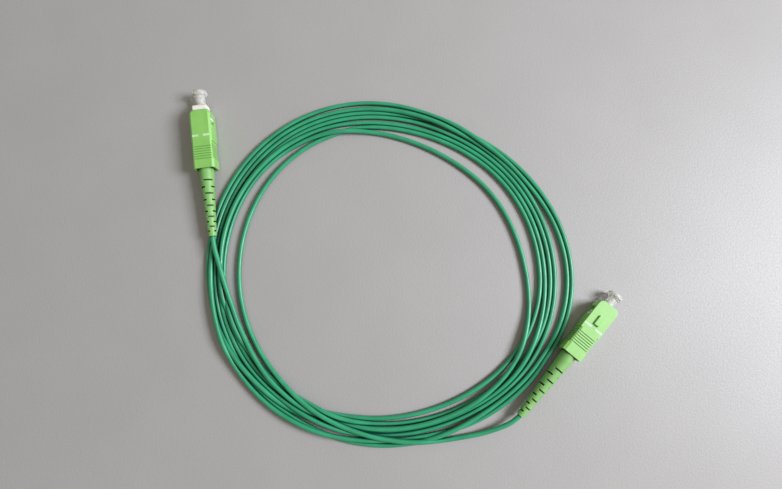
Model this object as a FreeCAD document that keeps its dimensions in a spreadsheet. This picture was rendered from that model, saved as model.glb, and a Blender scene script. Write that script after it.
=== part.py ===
import FreeCAD, Part
import math
import os
import re
import Sketcher
from FreeCAD import Placement, Rotation, Vector

# A simplex fibre optic patch cord: a thin jacketed cable, laid in a loose coil, with a push-pull
# angle-polished connector on each end. Millimetres, +Z up, the whole cord lying on z = 0. The
# origin is the bottom centre of the box around the two connectors.
#
# Each connector is drawn along its own +X axis, the way it plugs in, with its key on +Z. Its x = 0
# is the rear edge of the grip when the grip is pushed fully forward.

CABLE = {
    "cable_radius": 1.0,           # round jacket, 2.0 mm simplex cable
    "buffer_radius": 0.45,         # 0.9 mm tight buffer
    "fibre_radius": 0.0625,        # 125 micron glass
}

GRIP = {
    "travel": 3.1,                 # push-pull stroke of the grip over the inner housing
    "grip_length": 26.3,
    "grip_width": 9.0,
    "grip_height": 7.4,
    "grip_corner": 2.2,            # rounding of the front corners, seen from above
    "grip_edge": 0.12,             # rounding around the key's wide face
    "grip_bevel": 0.85,            # chamfer around the opposite wide face
    "slide_gap": 0.06,             # clearance of the channel around the inner housing
    "rear_depth": 5.6,             # wider rear opening that clears the boot
    "rear_width": 7.6,
    "rear_height": 6.5,
    "waist_start": 4.0,            # the narrow sides are hollowed a little between these places
    "waist_end": 11.8,
    "waist_depth": 0.25,
    "rear_bevel": 1.2,             # width of the bevels beside the key's face, behind the waist
    "waist_bevel": 0.95,           # and along it
    "side_bevel_depth": 0.5,
    "window_start": 18.3,          # side windows that show the stop lugs
    "window_length": 4.35,
    "window_height": 5.2,
    "groove_first": 10.05,         # finger grooves, counted towards the rear
    "groove_far_first": 9.4,       # the same on the face opposite the key
    "groove_pitch": 1.065,
    "groove_count": 6,
    "groove_width": 0.42,
    "groove_depth": 0.3,
    "side_depth": 0.42,            # deeper grooves of the narrow sides, less the waist
    "key_start": 15.7,
    "key_length": 4.4,
    "key_width": 2.3,
    "key_height": 0.8,
    "mark_centre": 14.35,          # pale indicator bars, flush in the wide faces
    "mark_length": 0.88,
    "mark_inner": 1.0,
    "mark_outer": 4.35,            # on the key's side
    "mark_far_outer": 3.6,         # on the other side, inside its chamfer
    "mark_depth": 0.2,
}

INNER = {
    "inner_width": 7.4,
    "inner_height": 5.6,
    "inner_rear": 3.6,
    "inner_front": 25.45,
    "inner_bevel": 0.5,
    "inner_bore": 2.45,            # radius of the bore that holds spring and flange
    "web_start": 17.0,             # the web that the ferrule flange seats against
    "web_end": 19.0,
    "web_bore": 1.45,
    "cavity_radius": 2.35,         # front cavity around the ferrule
    "lug_start": 18.4,             # side lugs that stop the grip at both ends of its travel
    "lug_length": 1.1,
    "lug_proud": 0.55,
    "lug_height": 3.6,
    "recess_start": 16.5,          # shallow recess from here to the block ahead of each lug
    "block_start": 20.2,           # latch block, which an adapter's fingers hook over
    "block_end": 21.3,             # the nose ahead of it is narrower, to let the fingers in
    "recess_depth": 0.9,
    "clip_start": 5.0,             # windows that the stop body clips into
    "clip_length": 1.8,
    "clip_width": 2.4,
    "clip_gap": 0.1,
}

TRAIN = {
    "ferrule_radius": 1.25,
    "ferrule_rear": 14.2,
    "ferrule_tip": 27.0,
    "ferrule_chamfer": 0.55,
    "polish_angle": 8.0,           # degrees, the angled end face
    "flange_rear": 13.2,
    "flange_front": 16.95,
    "flange_radius": 2.2,
    "flange_notch": 0.8,
    "notch_count": 4,
    "tail_rear": 6.0,
    "tail_radius": 1.1,
    "tail_bore": 0.7,
    "guide_rear": -3.0,
    "guide_front": 9.0,
    "guide_bore": 0.5,
    "fibre_rear": 2.7,
    "buffer_front": 1.0,
    "spring_turns": 5.0,
    "spring_radius": 1.75,
    "wire_radius": 0.22,
}

REAR = {
    "stop_front": 9.0,
    "stop_radius": 2.38,
    "stop_bore": 1.25,
    "stop_step": 1.5,              # where the bore narrows for the guide tube
    "stop_neck_bore": 0.8,
    "collar_rear": 2.2,
    "collar_radius": 2.75,
    "neck_radius": 2.0,
    "neck_rear": -4.6,
    "yarn_front": 1.9,
    "yarn_rear": -4.4,
    "ring_inner": 2.25,
    "ring_outer": 2.5,
    "ring_step": -5.4,
    "ring_small": 1.35,
    "ring_rear": -9.4,
    "jacket_front": -4.9,
    "boot_radius": 3.15,
    "boot_tip": -32.3,
    "boot_tip_radius": 1.75,
    "boot_plain": -3.0,            # the cylinder ends here and the taper starts
    "boot_mid": -17.0,
    "boot_mid_radius": 2.42,
    "slot_first": -8.2,            # flex slots, alternately wide faces and narrow sides
    "slot_step": 2.96,             # distance to the next slot, which shrinks towards the tip
    "slot_shrink": 0.128,
    "slot_rows": 10,
    "slot_width": 0.65,
    "wide_slot_depth": 0.62,       # share of the boot's radius that the slots leave
    "side_slot_depth": 0.44,
}

CAP = {
    "cap_rear": 21.0,
    "cap_bore": 1.27,
    "cap_bore_end": 27.6,
    "stem_radius": 2.02,
    "knob_rear": 29.95,
    "knob_rear_radius": 2.4,
    "knob_taper": 0.9,             # the knob widens over this length
    "knob_radius": 3.2,
    "cap_front": 32.4,
    "knob_edge": 0.9,              # rounding of the knob's front edge
    "dish_radius": 1.2,            # shallow hollow in the knob's end
    "dish_depth": 0.5,
}

# Where each connector lies: its x = 0 point, the heading of its axis and its roll about that axis.
# Connector a lies on its key with its grip pulled back. Connector b lies flat with its key up and
# its grip pushed forward. Each boot is turned a little further, by its twist.
LAY = {
    "a_along": -84.79, "a_across": 37.35, "a_height": 4.5,
    "a_heading": 97.4, "a_roll": 180.0, "a_twist": 18.0, "a_back": 3.1,
    "b_along": 69.04, "b_across": -43.94, "b_height": 3.7,
    "b_heading": 49.6, "b_roll": 0.0, "b_twist": 10.0, "b_back": 0.0,
}

# The coil: a flat ring whose outer and inner outlines are rounded, slightly lopsided loops.
COIL = {
    "coil_along": -5.55, "coil_across": -7.63, "coil_height": 4.2,
    "coil_outer": 76.2, "coil_inner": 60.0,
    "boot_room": 3.5,              # radius of the hollow in the ring along each boot
    "grip_room": 0.35,             # gap between the ring and the whole travel of connector b's grip
}

# Low waves on the ring's two outlines: how many to a turn, how high, and the heading of a crest.
OUTER_WAVES = [(1, 1.9, 205.0), (2, 3.3, -17.5), (3, 1.3, -9.0)]
INNER_WAVES = [(1, 4.0, 226.0), (2, 1.1, -26.0), (3, 1.5, -26.0)]

# Loose ends of the cable, from just beyond the tip of each boot to inside the coil.
LEAD_A = [(-80.1, 1.3, 4.45), (-77.7, -6.4, 4.1), (-74.9, -15.4, 3.6), (-71.9, -23.8, 3.0)]
LEAD_B = [(45.1, -71.4, 3.55), (39.4, -73.95, 2.7), (32.0, -76.4, 1.8), (23.5, -78.0, 1.2),
          (15.0, -79.2, 1.5)]

doc = FreeCAD.newDocument("PatchCord")


def make_sheet():
    """The driving dimensions, one row each: name, value."""
    cells = doc.addObject("Spreadsheet::Sheet", "Sizes")
    row = 1
    for group in (CABLE, GRIP, INNER, TRAIN, REAR, CAP, LAY, COIL):
        for alias, value in group.items():
            cells.set("A%d" % row, alias)
            cells.set("B%d" % row, str(value))
            cells.setAlias("B%d" % row, alias)
            row += 1
    doc.recompute()
    return cells


sheet = make_sheet()
aliases = {alias for group in (CABLE, GRIP, INNER, TRAIN, REAR, CAP, LAY, COIL) for alias in group}
parts = []                         # (file name, object), in the order they are made


def size(text):
    """The value of an expression over the sheet's names, such as grip_width / 2."""
    return float(sheet.evalExpression(text))


def bind(thing, prop, text):
    """Bind a property to an expression over the sheet's names."""
    thing.setExpression(prop, named(text))


def named(text):
    """Put the sheet's name before each alias, which an object outside the sheet needs."""
    return re.sub("[a-z]+(_[a-z]+)*", lambda m: "Sizes." + m[0] if m[0] in aliases else m[0], text)


def new_body(label):
    body = doc.addObject("PartDesign::Body", label)
    body.Label = label
    return body


def plane(body, role):
    return next(f for f in body.Origin.OriginFeatures if f.Role == role)


def new_sketch(body, name, role, offset="0"):
    """A sketch on one of the body's own origin planes, raised along its normal."""
    sketch = body.newObject("Sketcher::SketchObject", body.Label + "_" + name)
    sketch.AttachmentSupport = [(plane(body, role), "")]
    sketch.MapMode = "FlatFace"
    sketch.AttachmentOffset = Placement(Vector(0, 0, size(offset)), Rotation())
    if offset != "0":
        bind(sketch, "AttachmentOffset.Base.z", offset)
    return sketch


def pin_point(sketch, edge, end, corner):
    """Hold one end of a sketch edge at a corner given as two expressions."""
    for kind, text in zip(("DistanceX", "DistanceY"), corner):
        index = sketch.addConstraint(Sketcher.Constraint(kind, -1, 1, edge, end, size(text)))
        if not text.replace(".", "").replace("-", "").isdigit():
            bind(sketch, "Constraints[%d]" % index, text)


def polygon(sketch, corners):
    """A closed outline through corners, each a pair of expressions."""
    points = [Vector(size(u), size(v), 0) for u, v in corners]
    edges = []
    for start, end in zip(points, points[1:] + points[:1]):
        edges.append(sketch.addGeometry(Part.LineSegment(start, end), False))
    for this, following in zip(edges, edges[1:] + edges[:1]):
        sketch.addConstraint(Sketcher.Constraint("Coincident", this, 2, following, 1))
    for edge, corner in zip(edges, corners):
        pin_point(sketch, edge, 1, corner)


def rectangle(sketch, low_u, high_u, low_v, high_v):
    polygon(sketch, [(low_u, low_v), (high_u, low_v), (high_u, high_v), (low_u, high_v)])


def add_feature(body, kind, name, sketch):
    feature = body.newObject("PartDesign::" + kind, body.Label + "_" + name)
    feature.Profile = sketch
    sketch.Visibility = False
    return feature


def revolve(body, name, corners, cut=False):
    """Turn an outline of (x, radius) corners once about the connector's axis."""
    sketch = new_sketch(body, name + "_profile", "XZ_Plane")
    polygon(sketch, corners)
    feature = add_feature(body, "Groove" if cut else "Revolution", name, sketch)
    feature.ReferenceAxis = (sketch, ["H_Axis"])
    feature.Angle = 360.0
    doc.recompute()
    return feature


def pad(body, name, sketch, length, both_ways=False):
    feature = add_feature(body, "Pad", name, sketch)
    bind(feature, "Length", length)
    feature.Midplane = both_ways
    doc.recompute()
    return feature


def pocket(body, name, sketch, length, both_ways=False, backwards=False):
    """Cut a sketch out of the body, and make sure that it really removed something."""
    before = body.Shape.Volume
    feature = add_feature(body, "Pocket", name, sketch)
    bind(feature, "Length", length)
    feature.Midplane = both_ways
    feature.Reversed = backwards
    doc.recompute()
    if not body.Shape.Volume < before - 1e-4:
        raise RuntimeError(feature.Name + " cut nothing")
    return feature


def dress(body, kind, name, prop, text, wanted):
    """Fillet or chamfer the edges of the body's tip that the test wants."""
    tip = body.Tip
    edges = ["Edge%d" % (i + 1) for i, edge in enumerate(tip.Shape.Edges) if wanted(edge)]
    feature = body.newObject("PartDesign::" + kind, body.Label + "_" + name)
    feature.Base = (tip, edges)
    bind(feature, prop, text)
    doc.recompute()
    return feature


def flat_at(edge, axis, level):
    """Whether an edge lies wholly at one level of one axis (0, 1 or 2)."""
    return all(abs(v.Point[axis] - level) < 1e-4 for v in edge.Vertexes) and \
        abs(edge.CenterOfMass[axis] - level) < 1e-4


def lay(thing, end, shift="0", twist="0"):
    """Put a sub-part where its connector lies, moved along the connector's axis by shift and turned
    about it by twist."""
    heading, roll = end + "_heading", end + "_roll + " + twist
    turn = Rotation(Vector(0, 0, 1), size(heading)).multiply(Rotation(Vector(1, 0, 0), size(roll)))
    thing.Placement = Placement(Vector(0, 0, 0), turn)
    bind(thing, "Placement.Base.x", "%s_along + ( %s ) * cos(%s)" % (end, shift, heading))
    bind(thing, "Placement.Base.y", "%s_across + ( %s ) * sin(%s)" % (end, shift, heading))
    bind(thing, "Placement.Base.z", end + "_height")


def keep(thing, label):
    thing.Label = label
    parts.append((label, thing))


def grip(end):
    """Push-pull outer housing: a rounded sleeve with key, windows and finger grooves."""
    body = new_body("grip_" + end)
    plan = new_sketch(body, "plan", "XY_Plane")
    polygon(plan, [("0", "0 - grip_width / 2"), ("grip_length", "0 - grip_width / 2"),
                   ("grip_length", "grip_width / 2"), ("0", "grip_width / 2")])
    pad(body, "block", plan, "grip_height", both_ways=True)
    front = size("grip_length")
    dress(body, "Fillet", "corners", "Radius", "grip_corner",
          lambda e: flat_at(e, 0, front) and abs(e.Vertexes[0].Z - e.Vertexes[1].Z) > 1)
    half = size("grip_height / 2")
    dress(body, "Fillet", "edges", "Radius", "grip_edge",
          lambda e: flat_at(e, 2, half) and not flat_at(e, 0, 0))
    dress(body, "Chamfer", "bevel", "Size", "grip_bevel",
          lambda e: flat_at(e, 2, -half) and not flat_at(e, 0, 0))

    channel = new_sketch(body, "channel", "YZ_Plane")
    rectangle(channel, "0 - inner_width / 2 - slide_gap", "inner_width / 2 + slide_gap",
              "0 - inner_height / 2 - slide_gap", "inner_height / 2 + slide_gap")
    pocket(body, "channel_cut", channel, "grip_length", backwards=True)
    rear = new_sketch(body, "rear", "YZ_Plane")
    rectangle(rear, "0 - rear_width / 2", "rear_width / 2", "0 - rear_height / 2", "rear_height / 2")
    pocket(body, "rear_cut", rear, "rear_depth", backwards=True)
    window = new_sketch(body, "window", "XZ_Plane")
    rectangle(window, "window_start", "window_start + window_length",
              "0 - window_height / 2", "window_height / 2")
    pocket(body, "window_cut", window, "grip_width * 2", both_ways=True)
    waist = new_sketch(body, "waist", "XY_Plane")
    rectangle(waist, "waist_start", "waist_end", "grip_width / 2 - waist_depth", "grip_width / 2 + 1")
    rectangle(waist, "waist_start", "waist_end", "0 - grip_width / 2 - 1", "waist_depth - grip_width / 2")
    pocket(body, "waist_cut", waist, "grip_height * 2", both_ways=True)
    for width, reach in (("waist_bevel", "waist_end"), ("rear_bevel", "waist_start")):
        bevel = new_sketch(body, width + "_outline", "YZ_Plane")
        slope = "%s / side_bevel_depth" % width
        for sign in ("0 + ", "0 - "):
            polygon(bevel, [(sign + "( grip_width / 2 - %s - %s )" % (width, slope), "grip_height / 2 + 1"),
                            (sign + "( grip_width / 2 + %s )" % slope, "grip_height / 2 + 1"),
                            (sign + "( grip_width / 2 + %s )" % slope,
                             "grip_height / 2 - side_bevel_depth - 1")])
        pocket(body, width + "_cut", bevel, reach, backwards=True)

    key = new_sketch(body, "key", "XZ_Plane")
    rectangle(key, "key_start", "key_start + key_length",
              "grip_height / 2 - mark_depth", "grip_height / 2 + key_height")
    pad(body, "key_pad", key, "key_width", both_ways=True)
    top = half + size("key_height")
    dress(body, "Chamfer", "key_edges", "Size", "mark_depth", lambda e: flat_at(e, 2, top))

    grooves = []
    for name, role, outer, depth in (("wide", "XZ_Plane", "grip_height / 2", "groove_depth"),
                                     ("side", "XY_Plane", "grip_width / 2", "side_depth")):
        sketch = new_sketch(body, name + "_groove", role)
        for sign in ("0 + ", "0 - "):
            first = "groove_far_first" if (name, sign) == ("wide", "0 - ") else "groove_first"
            inside = "%s( %s - %s )" % (sign, outer, depth)
            outside = "%s( %s + 1 )" % (sign, outer)
            low, high = (inside, outside) if sign == "0 + " else (outside, inside)
            rectangle(sketch, first + " - groove_width / 2", first + " + groove_width / 2", low, high)
        grooves.append(pocket(body, name + "_groove_cut", sketch, "grip_width * 2", both_ways=True))
    pattern = body.newObject("PartDesign::LinearPattern", body.Label + "_groove_row")
    pattern.Originals = grooves
    pattern.Direction = (plane(body, "X_Axis"), [""])
    pattern.Reversed = True
    bind(pattern, "Length", "( groove_count - 1 ) * groove_pitch")
    bind(pattern, "Occurrences", "groove_count")
    body.Tip = pattern
    doc.recompute()

    for name, level, outer, upwards in (("near", "grip_height / 2 - mark_depth", "mark_outer", True),
                                        ("far", "mark_depth - grip_height / 2", "mark_far_outer", False)):
        bed = new_sketch(body, name + "_mark_bed", "XY_Plane", level)
        for low, high in (("mark_inner", outer), ("0 - " + outer, "0 - mark_inner")):
            rectangle(bed, "mark_centre - mark_length / 2", "mark_centre + mark_length / 2", low, high)
        pocket(body, name + "_mark_bed_cut", bed, "mark_depth * 2", backwards=upwards)
    lay(body, end, "0 - %s_back" % end)
    keep(body, "grip_" + end)


def marks(end):
    """Four pale indicator bars, two flush in each wide face of the grip."""
    bars = []
    for outer, level in (("mark_outer", "grip_height / 2 - mark_depth"),
                         ("mark_far_outer", "0 - grip_height / 2")):
        for start in ("mark_inner", "0 - " + outer):
            bar = doc.addObject("Part::Box", "mark_%s_%d" % (end, len(bars) + 1))
            bind(bar, "Length", "mark_length")
            bind(bar, "Width", outer + " - mark_inner")
            bind(bar, "Height", "mark_depth")
            bind(bar, "Placement.Base.x", "mark_centre - mark_length / 2")
            bind(bar, "Placement.Base.y", start)
            bind(bar, "Placement.Base.z", level)
            bars.append(bar)
    group = doc.addObject("Part::Compound", "marks_" + end)
    group.Links = bars
    doc.recompute()
    lay(group, end, "0 - %s_back" % end)
    keep(group, "indicator_marks_" + end)


def inner_housing(end):
    """White plug frame: bored block with side stop lugs, latch blocks, a narrow nose and clip windows."""
    body = new_body("inner_housing_" + end)
    block = new_sketch(body, "block_outline", "YZ_Plane", "inner_rear")
    rectangle(block, "0 - inner_width / 2", "inner_width / 2", "0 - inner_height / 2", "inner_height / 2")
    pad(body, "block", block, "inner_front - inner_rear")
    front = size("inner_front")
    dress(body, "Chamfer", "bevel", "Size", "inner_bevel", lambda e: flat_at(e, 0, front))
    edge, proud = "inner_width / 2 - recess_depth", "inner_width / 2 + lug_proud"
    recess = new_sketch(body, "recess_outline", "XY_Plane")
    for start, stop in (("recess_start", "block_start"), ("block_end", "inner_front + 1")):
        rectangle(recess, start, stop, edge, proud)
        rectangle(recess, start, stop, "0 - ( %s )" % proud, "0 - ( %s )" % edge)
    pocket(body, "recesses", recess, "inner_height * 2", both_ways=True)
    lugs = new_sketch(body, "lug_outline", "XY_Plane")
    rectangle(lugs, "lug_start", "lug_start + lug_length", edge, proud)
    rectangle(lugs, "lug_start", "lug_start + lug_length", "0 - ( %s )" % proud, "0 - ( %s )" % edge)
    pad(body, "lugs", lugs, "lug_height", both_ways=True)
    clips = new_sketch(body, "clip_outline", "XY_Plane")
    rectangle(clips, "clip_start", "clip_start + clip_length", "0 - clip_width / 2", "clip_width / 2")
    pocket(body, "clip_windows", clips, "inner_height * 2", both_ways=True)
    revolve(body, "bore", [("inner_rear - 1", "0"), ("inner_front + 1", "0"),
                           ("inner_front + 1", "cavity_radius"), ("web_end", "cavity_radius"),
                           ("web_end", "web_bore"), ("web_start", "web_bore"),
                           ("web_start", "inner_bore"), ("inner_rear - 1", "inner_bore")], cut=True)
    lay(body, end)
    keep(body, "inner_housing_" + end)


def ferrule(end):
    """Ceramic ferrule with its fibre bore, chamfered tip and angle-polished end face."""
    body = new_body("ferrule_" + end)
    slope = "ferrule_radius * tan(polish_angle)"
    tip = "ferrule_tip + " + slope
    revolve(body, "barrel", [("ferrule_rear", "fibre_radius"), (tip, "fibre_radius"),
                             (tip, "ferrule_radius - ferrule_chamfer / 2"),
                             ("ferrule_tip - ferrule_chamfer", "ferrule_radius"),
                             ("ferrule_rear", "ferrule_radius")])
    face = new_sketch(body, "polish_outline", "XZ_Plane")
    polygon(face, [("ferrule_tip - " + slope, "ferrule_radius"),
                   ("ferrule_tip + " + slope, "0 - ferrule_radius"),
                   ("ferrule_tip + 2", "0 - ferrule_radius"), ("ferrule_tip + 2", "ferrule_radius")])
    pocket(body, "polish", face, "ferrule_radius * 4", both_ways=True)
    lay(body, end)
    keep(body, "ferrule_" + end)


def flange(end):
    """Metal ferrule holder: notched collar with a tail tube that the spring rides on."""
    body = new_body("ferrule_flange_" + end)
    revolve(body, "turned", [("tail_rear", "tail_bore"), ("ferrule_rear", "tail_bore"),
                             ("ferrule_rear", "ferrule_radius"), ("flange_front", "ferrule_radius"),
                             ("flange_front", "flange_radius"), ("flange_rear", "flange_radius"),
                             ("flange_rear", "tail_radius"), ("tail_rear", "tail_radius")])
    notch = new_sketch(body, "notch_outline", "XY_Plane")
    rectangle(notch, "flange_front - flange_notch", "flange_front + 1",
              "flange_radius - 0.4", "flange_radius + 1")
    cut = pocket(body, "notch_cut", notch, "flange_notch", both_ways=True)
    ring = body.newObject("PartDesign::PolarPattern", body.Label + "_notches")
    ring.Originals = [cut]
    ring.Axis = (plane(body, "X_Axis"), [""])
    ring.Angle = 360.0
    bind(ring, "Occurrences", "notch_count")
    body.Tip = ring
    doc.recompute()
    lay(body, end)
    keep(body, "ferrule_flange_" + end)


def turned(label, end, corners):
    """A plain turned piece from its (x, radius) outline."""
    body = new_body(label + "_" + end)
    revolve(body, "turned", corners)
    lay(body, end)
    keep(body, label + "_" + end)


def tube(label, end, rear, front, inner, outer):
    turned(label, end, [(rear, inner), (front, inner), (front, outer), (rear, outer)])


def spring(end):
    """Compression spring between the stop body and the flange."""
    coil = doc.addObject("Part::Helix", "spring_path_" + end)
    bind(coil, "Radius", "spring_radius")
    bind(coil, "Height", "flange_rear - stop_front - 2 * wire_radius")
    bind(coil, "Pitch", "( flange_rear - stop_front - 2 * wire_radius ) / spring_turns")
    wire = doc.addObject("Part::Circle", "spring_wire_" + end)
    bind(wire, "Radius", "wire_radius")
    bind(wire, "Placement.Base.x", "spring_radius")
    wire.Placement = Placement(Vector(size("spring_radius"), 0, 0), Rotation(Vector(1, 0, 0), 90))
    doc.recompute()
    sweep = doc.addObject("Part::Sweep", "spring_turns_" + end)
    sweep.Sections = [wire]
    sweep.Solid = True
    sweep.Frenet = True
    sweep.Spine = (coil, ["Edge%d" % (i + 1) for i in range(len(coil.Shape.Edges))])
    doc.recompute()
    group = doc.addObject("Part::Compound", "spring_" + end)
    sweep.Placement = Placement(Vector(size("stop_front + wire_radius"), 0, 0), Rotation(Vector(0, 1, 0), 90))
    group.Links = [sweep]
    doc.recompute()
    lay(group, end)
    keep(group, "spring_" + end)


def stop_body(end):
    """Rear body: clips into the inner housing, backs the spring and carries the crimp neck."""
    body = new_body("stop_body_" + end)
    revolve(body, "turned", [("neck_rear", "stop_neck_bore"), ("stop_step", "stop_neck_bore"),
                             ("stop_step", "stop_bore"), ("stop_front", "stop_bore"),
                             ("stop_front", "stop_radius"), ("inner_rear", "stop_radius"),
                             ("inner_rear", "collar_radius"), ("collar_rear", "collar_radius"),
                             ("collar_rear", "neck_radius"), ("neck_rear", "neck_radius")])
    clips = new_sketch(body, "clip_outline", "XZ_Plane")
    for low, high in (("stop_radius - 0.3", "inner_height / 2"),
                      ("0 - inner_height / 2", "0 - stop_radius + 0.3")):
        rectangle(clips, "clip_start + clip_gap", "clip_start + clip_length - clip_gap", low, high)
    pad(body, "clips", clips, "clip_width - 2 * clip_gap", both_ways=True)
    lay(body, end)
    keep(body, "stop_body_" + end)


def boot(end):
    """Tapered strain relief with alternating flex slots, bored for the crimp ring and the cable."""
    body = new_body("boot_" + end)
    revolve(body, "turned", [("collar_rear", "ring_outer"), ("neck_rear", "ring_outer"),
                             ("ring_step", "ring_small"), ("ring_rear", "ring_small"),
                             ("ring_rear", "cable_radius"), ("boot_tip", "cable_radius"),
                             ("boot_tip", "boot_tip_radius"), ("boot_mid", "boot_mid_radius"),
                             ("boot_plain", "boot_radius"), ("collar_rear", "boot_radius")])
    mid, tip = size("boot_mid"), size("boot_tip")
    for first, name, role in ((0, "wide", "XZ_Plane"), (1, "side", "XY_Plane")):
        sketch = new_sketch(body, name + "_slots", role)
        for row in range(first, int(size("slot_rows")), 2):
            place = "slot_first - %d * slot_step + %d * slot_shrink" % (row, row * (row - 1) // 2)
            if size(place) > mid:
                taper = "boot_radius + ( boot_mid_radius - boot_radius ) * ( %s - boot_plain ) / " \
                        "( boot_mid - boot_plain )" % place
            else:
                taper = "boot_mid_radius + ( boot_tip_radius - boot_mid_radius ) * ( %s - boot_mid ) / " \
                        "( boot_tip - boot_mid )" % place
            left = "%s_slot_depth * ( %s )" % (name, taper)
            rectangle(sketch, "%s - slot_width / 2" % place, "%s + slot_width / 2" % place,
                      left, "boot_radius + 1")
            rectangle(sketch, "%s - slot_width / 2" % place, "%s + slot_width / 2" % place,
                      "0 - boot_radius - 1", "0 - " + left)
        pocket(body, name + "_slot_cuts", sketch, "boot_radius * 4", both_ways=True)
    lay(body, end, twist=end + "_twist")
    keep(body, "boot_" + end)


def dust_cap(end):
    """Soft translucent cap: sleeve over the ferrule and a wider knob to pull it by."""
    body = new_body("dust_cap_" + end)
    revolve(body, "turned", [("cap_rear", "cap_bore"), ("cap_bore_end", "cap_bore"), ("cap_bore_end", "0"),
                             ("cap_front - dish_depth", "0"), ("cap_front - dish_depth", "dish_radius"),
                             ("cap_front", "dish_radius"), ("cap_front", "knob_radius"),
                             ("knob_rear + knob_taper", "knob_radius"), ("knob_rear", "knob_rear_radius"),
                             ("knob_rear", "stem_radius"), ("cap_rear", "stem_radius")])
    front = size("cap_front")
    dress(body, "Fillet", "round", "Radius", "knob_edge",
          lambda e: flat_at(e, 0, front) and e.Curve.Radius > size("dish_radius") + 0.1)
    lay(body, end)
    keep(body, "dust_cap_" + end)


def connector(end):
    grip(end)
    marks(end)
    inner_housing(end)
    ferrule(end)
    flange(end)
    tube("guide_tube", end, "guide_rear", "guide_front", "guide_bore", "tail_bore")
    turned("glass_fibre", end, [("fibre_rear", "0"), ("ferrule_tip", "0"),
                                ("ferrule_tip", "fibre_radius"), ("fibre_rear", "fibre_radius")])
    spring(end)
    stop_body(end)
    tube("aramid_yarn", end, "yarn_rear", "yarn_front", "neck_radius", "ring_inner")
    turned("crimp_ring", end, [("yarn_front", "ring_inner"), ("yarn_front", "ring_outer"),
                               ("neck_rear", "ring_outer"), ("ring_step", "ring_small"),
                               ("ring_rear", "ring_small"), ("ring_rear", "cable_radius"),
                               ("ring_step", "cable_radius"), ("neck_rear - 0.1", "ring_inner")])
    tube("cable_jacket", end, "boot_tip", "jacket_front", "buffer_radius", "cable_radius")
    turned("fibre_buffer", end, [("boot_tip", "0"), ("buffer_front", "0"),
                                 ("buffer_front", "buffer_radius"), ("boot_tip", "buffer_radius")])
    boot(end)
    dust_cap(end)


def outline(radius, waves):
    """A closed smooth loop around the coil's middle: a circle with three low waves on it."""
    middle = Vector(size("coil_along"), size("coil_across"), 0)
    points = []
    for step in range(24):
        angle = 2 * math.pi * step / 24
        reach = radius + sum(high * math.cos(n * (angle - math.radians(at))) for n, high, at in waves)
        points.append(middle + Vector(reach * math.cos(angle), reach * math.sin(angle), 0))
    curve = Part.BSplineCurve()
    curve.interpolate(Points=points, PeriodicFlag=True)
    return Part.Wire(curve.toShape())


def boot_room(end):
    """The space to keep free of the coil along one connector's boot."""
    room = doc.addObject("Part::Cylinder", "room_for_boot_" + end)
    bind(room, "Radius", "boot_room")
    bind(room, "Height", "collar_rear - boot_tip + 4")
    lay(room, end, "boot_tip - 2")
    room.Placement.Rotation = room.Placement.Rotation.multiply(Rotation(Vector(0, 1, 0), 90))
    return room


def grip_room():
    """The space to keep free of the coil beside connector b's grip, over its whole travel."""
    room = doc.addObject("Part::Box", "room_for_grip_b")
    bind(room, "Length", "grip_length + travel + grip_room")
    bind(room, "Width", "grip_width + 2 * grip_room")
    bind(room, "Height", "grip_height")
    lay(room, "b")
    back, half = "( travel + grip_room )", "( grip_width / 2 + grip_room )"
    bind(room, "Placement.Base.x", "b_along - %s * cos(b_heading) + %s * sin(b_heading)" % (back, half))
    bind(room, "Placement.Base.y", "b_across - %s * sin(b_heading) - %s * cos(b_heading)" % (back, half))
    bind(room, "Placement.Base.z", "b_height - grip_height / 2")
    return room


def coil():
    """The coil as one closed ring, hollowed where the boots and connector b's grip lie."""
    outer = outline(size("coil_outer"), OUTER_WAVES)
    inner = outline(size("coil_inner"), INNER_WAVES)
    ring = doc.addObject("Part::Feature", "coil_ring")
    flat = Part.makeFace([outer, inner], "Part::FaceMakerBullseye")
    ring.Shape = flat.extrude(Vector(0, 0, size("coil_height")))
    rooms = [boot_room("a"), boot_room("b"), grip_room()]
    cut = ring
    for room in rooms:
        whole, cut = cut, doc.addObject("Part::Cut", "coil_less_" + room.Name)
        cut.Base = whole
        cut.Tool = room
    doc.recompute()
    keep(cut, "cable_coil")


def boot_end(end):
    """The middle of the hole that the cable leaves a connector by."""
    heading = math.radians(size(end + "_heading"))
    reach = size("boot_tip")
    return Vector(size(end + "_along") + reach * math.cos(heading),
                  size(end + "_across") + reach * math.sin(heading), size(end + "_height"))


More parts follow.
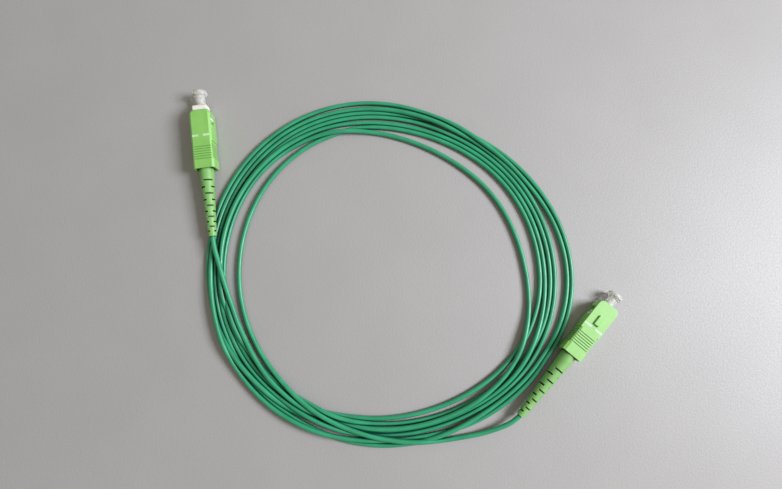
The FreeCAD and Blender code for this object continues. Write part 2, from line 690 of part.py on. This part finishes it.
def lead(end, route):
    """A loose end of the cable: straight runs joined by tangent arcs, swept with the jacket's section."""
    label = "cable_lead_" + end
    points = [boot_end(end)] + [Vector(*p) for p in route]
    runs = [(b - a).Length for a, b in zip(points, points[1:])]
    edges, here = [], points[0]
    for i in range(1, len(points) - 1):
        back = (points[i - 1] - points[i]).normalize()
        ahead = (points[i + 1] - points[i]).normalize()
        turn = math.pi - back.getAngle(ahead)
        reach = 0.45 * min(runs[i - 1], runs[i])
        radius = reach / math.tan(turn / 2)
        print("%s point %d: turn %.1f degrees, arc radius %.1f mm" % (label, i, math.degrees(turn), radius))
        start, end = points[i] + back * reach, points[i] + ahead * reach
        inward = (back + ahead).normalize()
        middle = points[i] + inward * (math.hypot(radius, reach) - radius)
        edges.append(Part.LineSegment(here, start).toShape())
        edges.append(Part.Arc(start, middle, end).toShape())
        here = end
    edges.append(Part.LineSegment(here, points[-1]).toShape())
    path = Part.Wire(edges)
    radius = size("cable_radius")
    section = Part.Wire(Part.makeCircle(radius, points[0], points[1] - points[0]))
    shape = path.makePipeShell([section], True, False)
    expected = math.pi * radius ** 2 * path.Length
    print("%s: length %.1f mm, volume %.2f mm3, section times length %.2f mm3"
          % (label, path.Length, shape.Volume, expected))
    if abs(shape.Volume - expected) > 0.01 * expected:
        raise RuntimeError(label + " has the wrong volume")
    feature = doc.addObject("Part::Feature", label)
    feature.Shape = shape
    keep(feature, label)


def check():
    """Every object has recomputed, and every sub-part has a valid solid."""
    doc.recompute()
    for thing in doc.Objects:
        if "Invalid" in thing.State or "Error" in thing.State:
            raise RuntimeError("%s is in state %s" % (thing.Name, thing.State))
    for label, thing in parts:
        if thing.Shape.isNull() or not thing.Shape.isValid() or not thing.Shape.Solids:
            raise RuntimeError(label + " has no valid solid")


def export():
    os.makedirs("parts", exist_ok=True)
    box = FreeCAD.BoundBox()
    for label, thing in parts:
        thing.Shape.exportStep("parts/%s.step" % label)
        if not label.startswith("cable_coil") and not label.startswith("cable_lead"):
            box.add(thing.Shape.BoundBox)
    print("%d sub-parts; connectors' box x %.2f to %.2f, y %.2f to %.2f, z %.2f to %.2f"
          % (len(parts), box.XMin, box.XMax, box.YMin, box.YMax, box.ZMin, box.ZMax))


for side in ("a", "b"):
    connector(side)
coil()
lead("a", LEAD_A)
lead("b", LEAD_B)
check()
export()
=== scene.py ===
import math

import bpy
import numpy as np
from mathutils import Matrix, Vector


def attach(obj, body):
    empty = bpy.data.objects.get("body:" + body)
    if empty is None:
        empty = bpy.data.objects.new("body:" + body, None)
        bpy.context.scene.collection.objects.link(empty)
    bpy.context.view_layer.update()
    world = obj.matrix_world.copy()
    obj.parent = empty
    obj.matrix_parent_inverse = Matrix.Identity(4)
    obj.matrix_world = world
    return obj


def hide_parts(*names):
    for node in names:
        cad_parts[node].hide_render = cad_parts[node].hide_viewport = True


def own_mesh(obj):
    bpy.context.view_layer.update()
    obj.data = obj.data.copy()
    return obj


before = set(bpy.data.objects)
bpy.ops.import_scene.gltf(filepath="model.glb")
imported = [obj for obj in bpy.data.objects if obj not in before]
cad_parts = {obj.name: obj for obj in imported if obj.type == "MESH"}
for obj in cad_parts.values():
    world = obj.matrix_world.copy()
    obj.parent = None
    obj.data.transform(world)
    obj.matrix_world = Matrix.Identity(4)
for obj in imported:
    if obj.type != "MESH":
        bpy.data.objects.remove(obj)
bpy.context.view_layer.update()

MM = 0.001

# ---------------------------------------------------------------------------------------------
# Camera: a hand-held view from almost straight above.
# ---------------------------------------------------------------------------------------------

CAMERA_AT = (-4.85, -23.23, 219.4)         # mm
CAMERA_TILT = 6.65                         # degrees off the vertical
CAMERA_LENS = 23.48                        # mm, on a 36 mm sensor


def camera():
    data = bpy.data.cameras.new("camera")
    data.lens = CAMERA_LENS
    data.sensor_width = 36
    data.clip_start = 0.01
    thing = bpy.data.objects.new("camera", data)
    thing.location = Vector(CAMERA_AT) * MM
    thing.rotation_euler = (math.radians(CAMERA_TILT), 0, 0)
    bpy.context.collection.objects.link(thing)
    bpy.context.scene.camera = thing


# ---------------------------------------------------------------------------------------------
# The cable. The points of both loose ends and the turns' depths were chosen one by one. The waves in
# the coil's outline were fitted to points chosen one by one. The coil is a loop over the turns.
# Millimetres until the curve is made.
# ---------------------------------------------------------------------------------------------

DIAMETER = 2.0
BOOT_REACH = -32.3                         # a connector's x at the tip of its boot
LAY = {"a": (-84.79, 37.35, 4.5, 97.4), "b": (69.04, -43.94, 3.7, 49.6)}
BOOT_TIP_RADIUS, BOOT_TAPER = 1.75, 0.046  # the boot widens by this much for each mm from its tip
GRIP_REAR, GRIP_HALF = -9.0, 4.5           # rearmost x that the grip may come near, and half its width
CLEARANCE = 0.12                           # between the cable and a connector
AHEAD_OF_TIP = 2                           # how far past its tip a boot still holds the cable down
NO_LIMIT = 99.0                            # a height that the cable never reaches

LEAD_A = [(-80.1, 1.3, 4.45), (-77.7, -6.4, 4.1), (-74.9, -15.4, 3.6), (-71.9, -23.8, 3.0)]
LEAD_B = [(45.1, -71.4, 3.55), (39.4, -73.95, 2.7), (32.0, -76.4, 1.8), (23.5, -78.0, 1.2),
          (15.0, -79.2, 1.5)]

COIL_MIDDLE = (-5.55, -7.63)
COIL_RADIUS = 75.4
COIL_WAVES = ((1, 1.9, 205.0), (2, 3.3, -17.5), (3, 1.3, -9.0))  # how many, how high, a crest's angle

# Each turn's place in the laying order, from 0 for the lowest, and how far inside the coil's
# outline it runs at eight stations, from the bottom of the coil round to the lower left.
TURNS = [
    (6, (6.0, 10.0, 19.4, 16.1, 14.1, 9.25, 7.0, 8.6)),
    (3, (8.0, 8.8, 8.75, 5.4, 5.75, 6.35, 6.0, 4.9)),
    (2, (4.0, 5.6, 7.0, 2.95, 3.15, 2.5, 2.5, 0.5)),
    (0, (0.9, 1.3, -0.3, 0.1, 4.3, 5.0, 4.5, 2.1)),
    (1, (-0.1, 3.15, 1.5, 2.0, -0.1, 0.65, 1.1, 3.6)),
    (4, (5.0, 7.75, 11.5, 7.35, 9.1, 7.65, 6.5, 7.5)),
    (5, (10.3, 13.0, 13.0, 8.8, 10.5, 13.75, 14.25, 11.0)),
]
FIRST_STATION, STATION_STEP, STATIONS = 270, 45.0, 8
COIL_STEP = 5                              # degrees from one point of a turn to the next
COIL_START = 200                           # degrees along the whole winding, as is the end
COIL_END = 280 + 360 * len(TURNS)
LEAD_IN, LEAD_OUT = 30, 35                 # degrees of the loose ends that are worked out with the coil

# Depths at angles before the first turn, on the way in from connector a, and then at the last
# station and just past the coil's end, on the way out to connector b.
ENTRY = ((190, 9.0), (200, 10.1), (212, 9.6), (225, 8.2))
EXIT_DEPTHS, PAST_END = (1.9, -1.2), 5

ENTRY_RANK, EXIT_RANK = 6.5, 7             # the laying order of the two ends
RAMP, RAMP_EARLY = 10, 15                  # degrees that a change of order takes, and from its end to a turn
EXIT_EARLY = 38                            # the last turn crosses over the others from this much earlier
SETTLING_STEPS, SINK = 900, 0.03           # how long the turns settle, and how fast, in mm per step
STACKING = 1.1                             # diameters from one turn to the next before they settle
APART = 1.01                               # diameters to which touching turns are pushed apart
SIDEWAYS = 0.5                             # share of a push that goes sideways
HOMING = 0.06                              # share of the way back to its own lane, in each step
SMOOTH_RADIUS, SMOOTH_HEIGHT = 0.1, 0.2    # share of a kink that each step takes out


def boot_end(end):
    along, across, height, heading = LAY[end]
    angle = math.radians(heading)
    return (along + BOOT_REACH * math.cos(angle), across + BOOT_REACH * math.sin(angle), height)


def outline(angle):
    """The coil's outer radius at these angles, in degrees."""
    waves = [size * np.cos(np.radians(count * (angle - peak))) for count, size, peak in COIL_WAVES]
    return COIL_RADIUS + sum(waves)


def through(at, knots, values):
    """A smooth curve through the values at the knots."""
    slopes = np.gradient(values, knots)
    cell = np.clip(np.searchsorted(knots, at) - 1, 0, len(knots) - 2)
    width = knots[cell + 1] - knots[cell]
    part = (at - knots[cell]) / width
    rest = 1 - part
    return (values[cell] * rest ** 2 * (1 + 2 * part) + values[cell + 1] * part ** 2 * (1 + 2 * rest)
            + width * part * rest * (slopes[cell] * rest - slopes[cell + 1] * part))


def polar(route, turns):
    """Angle in degrees, radius and height of a route's points, seen from the coil's middle."""
    x, y, z = np.array(route).T
    x, y = x - COIL_MIDDLE[0], y - COIL_MIDDLE[1]
    return np.degrees(np.arctan2(y, x)) % 360 + 360 * turns, np.hypot(x, y), z


def beside(end, angle, radius):
    """Where these places of the coil lie in a connector's own lengthwise and sideways directions."""
    x = COIL_MIDDLE[0] + radius * np.cos(np.radians(angle)) - LAY[end][0]
    y = COIL_MIDDLE[1] + radius * np.sin(np.radians(angle)) - LAY[end][1]
    heading = math.radians(LAY[end][3])
    return x * math.cos(heading) + y * math.sin(heading), y * math.cos(heading) - x * math.sin(heading)


def boot_radius(along):
    return BOOT_TIP_RADIUS + BOOT_TAPER * np.clip(along - BOOT_REACH, 0, -BOOT_REACH)


def under_boot(angle, radius):
    """The highest that the cable's middle may be at these places, because of connector a's boot."""
    along, aside = beside("a", angle, radius)
    reach = boot_radius(along) + DIAMETER / 2 + CLEARANCE
    drop = np.sqrt(np.clip(reach ** 2 - aside ** 2, 0, None))
    inside = (along > BOOT_REACH - AHEAD_OF_TIP) & (drop > 0)
    return np.where(inside, np.maximum(LAY["a"][2] - drop, DIAMETER / 2), NO_LIMIT)


def inside_plug(angle, radius, height):
    """How far these places must move towards the coil's middle to clear connector b."""
    along, aside = beside("b", angle, radius)
    reach = boot_radius(along) + DIAMETER / 2 + CLEARANCE
    by_boot = np.sqrt(np.clip(reach ** 2 - (height - LAY["b"][2]) ** 2, 0, None))
    limit = np.where(along > GRIP_REAR, GRIP_HALF + DIAMETER / 2 + CLEARANCE, by_boot)
    return np.where(along > BOOT_REACH, np.clip(limit - aside, 0, None), 0.0)


def wind_coil():
    """The coil's points. The turns start one above another in their laying order, and then sink
    until each lies on the table or on the turns below it."""
    entry = polar([boot_end("a")] + LEAD_A, 0)
    leaving = polar(LEAD_B[::-1] + [boot_end("b")], len(TURNS))
    angle = np.arange(COIL_START - LEAD_IN, COIL_END + LEAD_OUT, COIL_STEP).astype(float)
    stations = FIRST_STATION + STATION_STEP * np.arange(STATIONS * len(TURNS) + 1)
    knots = np.concatenate([[at for at, _ in ENTRY], stations, [COIL_END + PAST_END]])
    depths = np.concatenate([[depth for _, depth in ENTRY], *[lane for _, lane in TURNS], EXIT_DEPTHS])
    lane = outline(angle) - through(angle, knots, depths)
    before, after = angle < COIL_START, angle > COIL_END
    lane = np.where(before, np.interp(angle, entry[0], entry[1]), lane)
    lane = np.where(after, np.interp(angle, leaving[0], leaving[1]), lane)
    ranks = [ENTRY_RANK] + [rank for rank, _ in TURNS] + [EXIT_RANK]
    rank = np.interp(angle, *stairs(ranks))
    fixed_height = np.where(before, np.interp(angle, entry[0], entry[2]),
                            np.interp(angle, leaving[0], leaving[2]))
    free = ~(before | after)
    start_height = DIAMETER / 2 + STACKING * DIAMETER * rank
    radius, height = lane.copy(), start_height.copy()
    turn = 360 // COIL_STEP
    for step in range(SETTLING_STEPS):
        height = np.where(free, height - SINK, np.maximum(fixed_height, start_height - SINK * step))
        for apart in range(turn, len(angle), turn):
            aside = radius[apart:] - radius[:-apart]
            above = height[apart:] - height[:-apart]
            gap = np.maximum(np.hypot(aside, above), 1e-6)
            push = np.clip(DIAMETER * APART - gap, 0, None) / gap / 2
            radius[apart:] += SIDEWAYS * push * aside
            radius[:-apart] -= SIDEWAYS * push * aside
            height[apart:] += push * above
            height[:-apart] -= push * above
        height = np.maximum(height, DIAMETER / 2)
        height = np.minimum(height, under_boot(angle, radius))
        radius = radius - inside_plug(angle, radius, height)
        radius += HOMING * (lane - radius)
        for values, share in ((radius, SMOOTH_RADIUS), (height, SMOOTH_HEIGHT)):
            bend = np.zeros_like(values)
            off = values - lane if values is radius else values
            bend[1:-1] = (off[:-2] + off[2:]) / 2 - off[1:-1]
            values += share * bend
        radius = np.where(free, radius, lane)
    height = np.maximum(height, DIAMETER / 2)
    turning = np.radians(angle[free])
    return np.column_stack([COIL_MIDDLE[0] + radius[free] * np.cos(turning),
                            COIL_MIDDLE[1] + radius[free] * np.sin(turning), height[free]])


def stairs(ranks):
    """Angles and laying order: one level per turn, with a short ramp between two turns."""
    angles, levels = [], []
    for count, rank in enumerate(ranks):
        first = FIRST_STATION - 360 - RAMP_EARLY + 360 * count
        angles += [first, first + 360 - RAMP]
        levels += [rank, rank]
    angles[-3] -= EXIT_EARLY
    angles[-2] -= EXIT_EARLY
    return angles, levels


def cable():
    route = [boot_end("a")] + LEAD_A + [tuple(p) for p in wind_coil()] + LEAD_B[::-1] + [boot_end("b")]
    data = bpy.data.curves.new("cable", "CURVE")
    data.dimensions = "3D"
    data.resolution_u = 4
    data.bevel_depth = 1.0                 # each point's radius is the cable's
    data.bevel_resolution = 5
    spline = data.splines.new("NURBS")
    spline.points.add(len(route) - 1)
    for point, place in zip(spline.points, route):
        point.co = (*(Vector(place) * MM), 1)
        point.radius = DIAMETER / 2 * MM
    spline.order_u = 3
    spline.use_endpoint_u = True
    thing = bpy.data.objects.new("cable", data)
    bpy.context.collection.objects.link(thing)
    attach(thing, "root")
    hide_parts("cable_coil", "cable_lead_a", "cable_lead_b")
    return thing


# ---------------------------------------------------------------------------------------------
# Materials. Sizes are in millimetres, and a connector's materials are laid along its own axis.
# ---------------------------------------------------------------------------------------------

def node(tree, kind, inputs=(), **settings):
    """Add a node. Each input is a plain value, or another node's output to join to it."""
    made = tree.nodes.new("ShaderNode" + kind)
    for name, value in settings.items():
        setattr(made, name, value)
    for name, value in dict(inputs).items():
        if isinstance(value, bpy.types.NodeSocket):
            tree.links.new(value, made.inputs[name])
        else:
            made.inputs[name].default_value = value
    return made


def new_tree(name):
    made = bpy.data.materials.new(name)
    made.use_nodes = True
    return made, made.node_tree, made.node_tree.nodes["Principled BSDF"]


def laid_along(tree, heading, stretch=(1, 1, 1)):
    """Places in the object, turned so that x runs along a connector."""
    place = node(tree, "TexCoord").outputs["Object"]
    turned = node(tree, "Mapping", {"Vector": place, "Rotation": (0, 0, -math.radians(heading))})
    return node(tree, "Mapping", {"Vector": turned.outputs[0], "Scale": stretch}).outputs[0]


def noise(tree, place, feature, detail=3.0, roughness=0.55):
    """Noise whose features are about this many millimetres across, from 0 to 1."""
    return node(tree, "TexNoise", {"Vector": place, "Scale": 1 / (feature * MM), "Detail": detail,
                                   "Roughness": roughness}).outputs["Fac"]


def spread(tree, value, start, stop, low=0.0, high=1.0):
    """A value between start and stop, spread over low to high."""
    return node(tree, "MapRange", {"Value": value, "From Min": start, "From Max": stop,
                                   "To Min": low, "To Max": high}).outputs[0]


def blend(tree, share, first, second, kind="MIX"):
    return node(tree, "MixRGB", {"Fac": share, "Color1": first, "Color2": second}, blend_type=kind).outputs[0]


def near_edges(tree, rounded, noise_value):
    """How near a sharp edge a place is, from 0 to 1, broken up by noise."""
    flat = node(tree, "NewGeometry").outputs["Normal"]
    facing = node(tree, "VectorMath", {0: rounded, 1: flat}, operation="DOT_PRODUCT").outputs["Value"]
    edge = spread(tree, facing, 0.995, 0.80)
    return node(tree, "Math", {0: edge, 1: spread(tree, noise_value, 0.3, 0.7, 0.35, 1.0)},
                operation="MULTIPLY").outputs[0]


def finish(name, tones, rough, patch=5.0, grain=0.3, relief=0.006, heading=0.0, stretch=(1, 1, 1),
           edge=None, worn=None, painted_shade_reach=None, painted_shade_colour=None, **shader):
    """A surface whose colour drifts between two tones in patches, with uneven roughness, a fine
    relief, softened and worn edges, and painted shade in its crevices."""
    made, tree, base = new_tree(name)
    place = laid_along(tree, heading, stretch)
    patches = noise(tree, place, patch)
    specks = noise(tree, place, grain, detail=5.0, roughness=0.7)
    colour = blend(tree, spread(tree, patches, 0.35, 0.65), (*tones[0], 1), (*tones[1], 1))
    colour = blend(tree, spread(tree, specks, 0.35, 0.65, 0.0, 0.3), colour, (*tones[1], 1))
    bump = {"Height": specks, "Strength": 1.0, "Distance": relief * MM}
    if edge:
        rounded = node(tree, "Bevel", {"Radius": edge * MM}, samples=6).outputs[0]
        bump["Normal"] = rounded
        colour = blend(tree, near_edges(tree, rounded, patches), colour, (*worn, 1))
    # Painted shade: the colour darkens where ambient occlusion finds nearby surfaces, in grooves, slots and
    # between parts.
    if painted_shade_reach:
        open_air = node(tree, "AmbientOcclusion", {"Distance": painted_shade_reach * MM}, samples=8).outputs["AO"]
        colour = blend(tree, spread(tree, open_air, 0.8, 0.5), colour, (*painted_shade_colour, 1))
    tree.links.new(colour, base.inputs["Base Color"])
    tree.links.new(node(tree, "Bump", bump).outputs[0], base.inputs["Normal"])
    uneven = noise(tree, place, patch / 3, detail=4.0)
    tree.links.new(spread(tree, uneven, 0.3, 0.7, rough[0], rough[1]), base.inputs["Roughness"])
    for socket, value in shader.items():
        base.inputs[socket.replace("_", " ")].default_value = value
    return made


WAVE_RATE = 20                             # a wave texture multiplies its own scale by this


def turned_metal(name, tones, rough, heading, ring=0.12):
    """Metal with lathe rings around the connector's axis, 2 pi times `ring` millimetres apart."""
    made, tree, base = new_tree(name)
    place = laid_along(tree, heading)
    rings = node(tree, "TexWave", {"Vector": place, "Scale": 1 / (ring * MM) / WAVE_RATE,
                                   "Distortion": 0.6, "Detail": 2.0, "Detail Scale": 3.0},
                 bands_direction="X").outputs["Fac"]
    stains = noise(tree, place, 1.5, detail=5.0)
    colour = blend(tree, spread(tree, stains, 0.35, 0.65), (*tones[0], 1), (*tones[1], 1))
    tree.links.new(blend(tree, spread(tree, rings, 0.0, 1.0, 0.0, 0.25), colour, (*tones[0], 1), "MULTIPLY"),
                   base.inputs["Base Color"])
    tree.links.new(spread(tree, rings, 0.0, 1.0, rough[0], rough[1]), base.inputs["Roughness"])
    tree.links.new(node(tree, "Bump", {"Height": rings, "Strength": 1.0, "Distance": 0.003 * MM}).outputs[0],
                   base.inputs["Normal"])
    base.inputs["Metallic"].default_value = 1.0
    return made


def printed_marks(name, heading):
    """Thin pale ink, through which the green plastic shows in places."""
    made, tree, base = new_tree(name)
    place = laid_along(tree, heading)
    pinholes = noise(tree, place, 0.22, detail=6.0, roughness=0.75)
    coverage = noise(tree, place, 1.2, detail=2.0)
    ink = blend(tree, spread(tree, coverage, 0.3, 0.7), (0.50, 0.74, 0.47, 1), (0.66, 0.84, 0.63, 1))
    tree.links.new(blend(tree, spread(tree, pinholes, 0.60, 0.72), ink, (0.34, 0.66, 0.22, 1)),
                   base.inputs["Base Color"])
    tree.links.new(spread(tree, coverage, 0.3, 0.7, 0.42, 0.58), base.inputs["Roughness"])
    bump = node(tree, "Bump", {"Height": pinholes, "Strength": 1.0, "Distance": 0.01 * MM})
    tree.links.new(bump.outputs[0], base.inputs["Normal"])
    return made


def yarn(name, heading):
    """Yellow aramid fibres, bundled lengthwise."""
    made, tree, base = new_tree(name)
    strands = noise(tree, laid_along(tree, heading, (0.06, 1, 1)), 0.12, detail=5.0, roughness=0.7)
    colour = blend(tree, spread(tree, strands, 0.35, 0.65), (0.42, 0.27, 0.05, 1), (0.80, 0.60, 0.16, 1))
    tree.links.new(colour, base.inputs["Base Color"])
    tree.links.new(spread(tree, strands, 0.3, 0.7, 0.45, 0.7), base.inputs["Roughness"])
    tree.links.new(node(tree, "Bump", {"Height": strands, "Strength": 1.0, "Distance": 0.06 * MM}).outputs[0],
                   base.inputs["Normal"])
    base.inputs["Sheen Weight"].default_value = 0.4
    return made


def connector_materials(end):
    heading = LAY[end][3]
    return {
        # Painted shade: a deeper green in the grip's grooves and recesses.
        "grip": finish("grip_plastic_" + end, ((0.205, 0.530, 0.088), (0.250, 0.590, 0.120)), (0.44, 0.54),
                       heading=heading, edge=0.14, worn=(0.31, 0.63, 0.18), painted_shade_reach=0.5,
                       painted_shade_colour=(0.12, 0.41, 0.05), Specular_IOR_Level=0.9,
                       Coat_Weight=1.0, Coat_Roughness=0.5),
        "indicator_marks": printed_marks("mark_ink_" + end, heading),
        # Painted shade: a greyer white in the inner housing's recesses.
        "inner_housing": finish("housing_plastic_" + end, ((0.79, 0.78, 0.70), (0.87, 0.86, 0.79)),
                                (0.32, 0.45), heading=heading, edge=0.08, worn=(0.90, 0.90, 0.87),
                                painted_shade_reach=0.8, painted_shade_colour=(0.42, 0.42, 0.38)),
        "ferrule": finish("ceramic_" + end, ((0.86, 0.85, 0.81), (0.90, 0.89, 0.86)), (0.08, 0.16), patch=2.0,
                          grain=0.08, relief=0.0006, heading=heading, stretch=(3, 1, 1), Coat_Weight=0.3),
        "ferrule_flange": turned_metal("nickel_" + end, ((0.58, 0.55, 0.49), (0.68, 0.66, 0.60)),
                                       (0.22, 0.34), heading),
        "guide_tube": finish("clear_tube_" + end, ((0.84, 0.88, 0.90), (0.92, 0.94, 0.95)), (0.12, 0.22),
                             patch=2.0, relief=0.002, heading=heading, stretch=(0.2, 1, 1),
                             Transmission_Weight=0.8, IOR=1.42),
        "glass_fibre": finish("glass_" + end, ((0.90, 0.94, 0.96), (0.95, 0.98, 1.0)), (0.02, 0.06),
                              patch=1.0, grain=0.05, relief=0.0003, heading=heading, stretch=(0.1, 1, 1),
                              Transmission_Weight=0.95, IOR=1.46),
        "spring": finish("spring_wire_" + end, ((0.44, 0.44, 0.45), (0.60, 0.60, 0.62)), (0.20, 0.36),
                         patch=1.0, grain=0.06, relief=0.003, heading=heading,
                         stretch=(2, 0.3, 0.3), Metallic=1.0),
        "stop_body": turned_metal("stop_nickel_" + end, ((0.48, 0.47, 0.44), (0.62, 0.61, 0.58)),
                                  (0.28, 0.42), heading, ring=0.2),
        "aramid_yarn": yarn("aramid_" + end, heading),
        "crimp_ring": finish("crimp_metal_" + end, ((0.52, 0.52, 0.54), (0.66, 0.66, 0.68)), (0.30, 0.48),
                             patch=1.5, grain=0.15, relief=0.012, heading=heading, stretch=(0.4, 1, 1),
                             edge=0.08, worn=(0.78, 0.78, 0.80), Metallic=1.0),
        "cable_jacket": jacket("jacket_" + end, heading),
        "fibre_buffer": finish("buffer_" + end, ((0.80, 0.80, 0.77), (0.87, 0.87, 0.85)), (0.38, 0.5),
                               patch=2.0, relief=0.003, heading=heading, stretch=(0.2, 1, 1)),
        # Painted shade: near black inside the boot's slots and where the boot meets the grip.
        "boot": finish("boot_rubber_" + end, ((0.165, 0.405, 0.095), (0.200, 0.460, 0.120)), (0.52, 0.62),
                       patch=4.0, grain=0.22, relief=0.010, heading=heading, edge=0.10,
                       worn=(0.26, 0.56, 0.18), painted_shade_reach=2.6, painted_shade_colour=(0.003, 0.018, 0.005),
                       Specular_IOR_Level=0.9),
        "dust_cap": finish("cap_plastic_" + end, ((0.93, 0.92, 0.87), (0.98, 0.97, 0.93)), (0.26, 0.38),
                           patch=3.0, grain=0.8, relief=0.001, heading=heading, edge=0.2,
                           worn=(0.98, 0.98, 0.97), Transmission_Weight=0.58, IOR=1.38,
                           Subsurface_Weight=0.9, Subsurface_Scale=0.0015, Subsurface_Radius=(1, 1, 1)),
    }


def jacket(name, heading=0.0):
    """Smooth extruded jacket, with faint streaks and handling marks."""
    # Painted shade: a deep green where the cable lies against the table and against other turns.
    return finish(name, ((0.017, 0.262, 0.122), (0.029, 0.342, 0.168)), (0.32, 0.44), patch=9.0, grain=0.35,
                  relief=0.004, heading=heading, painted_shade_reach=2.2, painted_shade_colour=(0.002, 0.070, 0.040),
                  Specular_IOR_Level=0.6)


def dress_connectors():
    for end in LAY:
        for part, material in connector_materials(end).items():
            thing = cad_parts[part + "_" + end]
            thing.data.materials.clear()
            thing.data.materials.append(material)


def press_springs():
    """Each spring gets its own copy of its mesh."""
    for end, (along, across, height, heading) in LAY.items():
        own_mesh(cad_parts["spring_" + end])


# ---------------------------------------------------------------------------------------------
# Floor and light: a grey tabletop with soft daylight from the right.
# ---------------------------------------------------------------------------------------------

def table_top():
    made, tree, base = new_tree("table_top")
    place = laid_along(tree, 0.0)
    clouds = noise(tree, place, 40.0, detail=4.0)
    flecks = noise(tree, place, 0.9, detail=4.0, roughness=0.7)
    colour = blend(tree, spread(tree, clouds, 0.3, 0.7), (0.378, 0.370, 0.368, 1), (0.402, 0.393, 0.392, 1))
    tree.links.new(blend(tree, spread(tree, flecks, 0.35, 0.7, 0.0, 0.3), colour, (0.32, 0.315, 0.312, 1)),
                   base.inputs["Base Color"])
    tree.links.new(spread(tree, flecks, 0.3, 0.7, 0.48, 0.58), base.inputs["Roughness"])
    tree.links.new(node(tree, "Bump", {"Height": flecks, "Strength": 1.0, "Distance": 0.09 * MM}).outputs[0],
                   base.inputs["Normal"])
    base.inputs["Specular IOR Level"].default_value = 0.7
    return made


def floor():
    data = bpy.data.meshes.new("floor")
    reach = 1.2
    data.from_pydata([(-reach, -reach, 0), (reach, -reach, 0), (reach, reach, 0), (-reach, reach, 0)], [],
                     [(0, 1, 2, 3)])
    thing = bpy.data.objects.new("floor", data)
    bpy.context.collection.objects.link(thing)
    data.materials.append(table_top())


def lights():
    data = bpy.data.lights.new("window", "AREA")
    data.shape = "SQUARE"
    data.size = 0.45
    data.energy = 20.0
    data.color = (0.92, 0.935, 1.0)
    window = bpy.data.objects.new("window", data)
    window.location = (0.93, 0.03, 0.75)
    window.rotation_euler = (-window.location).to_track_quat("-Z", "Y").to_euler()
    bpy.context.collection.objects.link(window)
    world = bpy.data.worlds.new("room")
    world.use_nodes = True
    world.node_tree.nodes["Background"].inputs["Color"].default_value = (1.0, 0.95, 0.80, 1)
    world.node_tree.nodes["Background"].inputs["Strength"].default_value = 0.36
    bpy.context.scene.world = world
    bpy.context.scene.view_settings.view_transform = "Standard"


camera()
cord = cable()
cord.data.materials.append(jacket("jacket"))
dress_connectors()
press_springs()
floor()
lights()

bpy.context.view_layer.update()
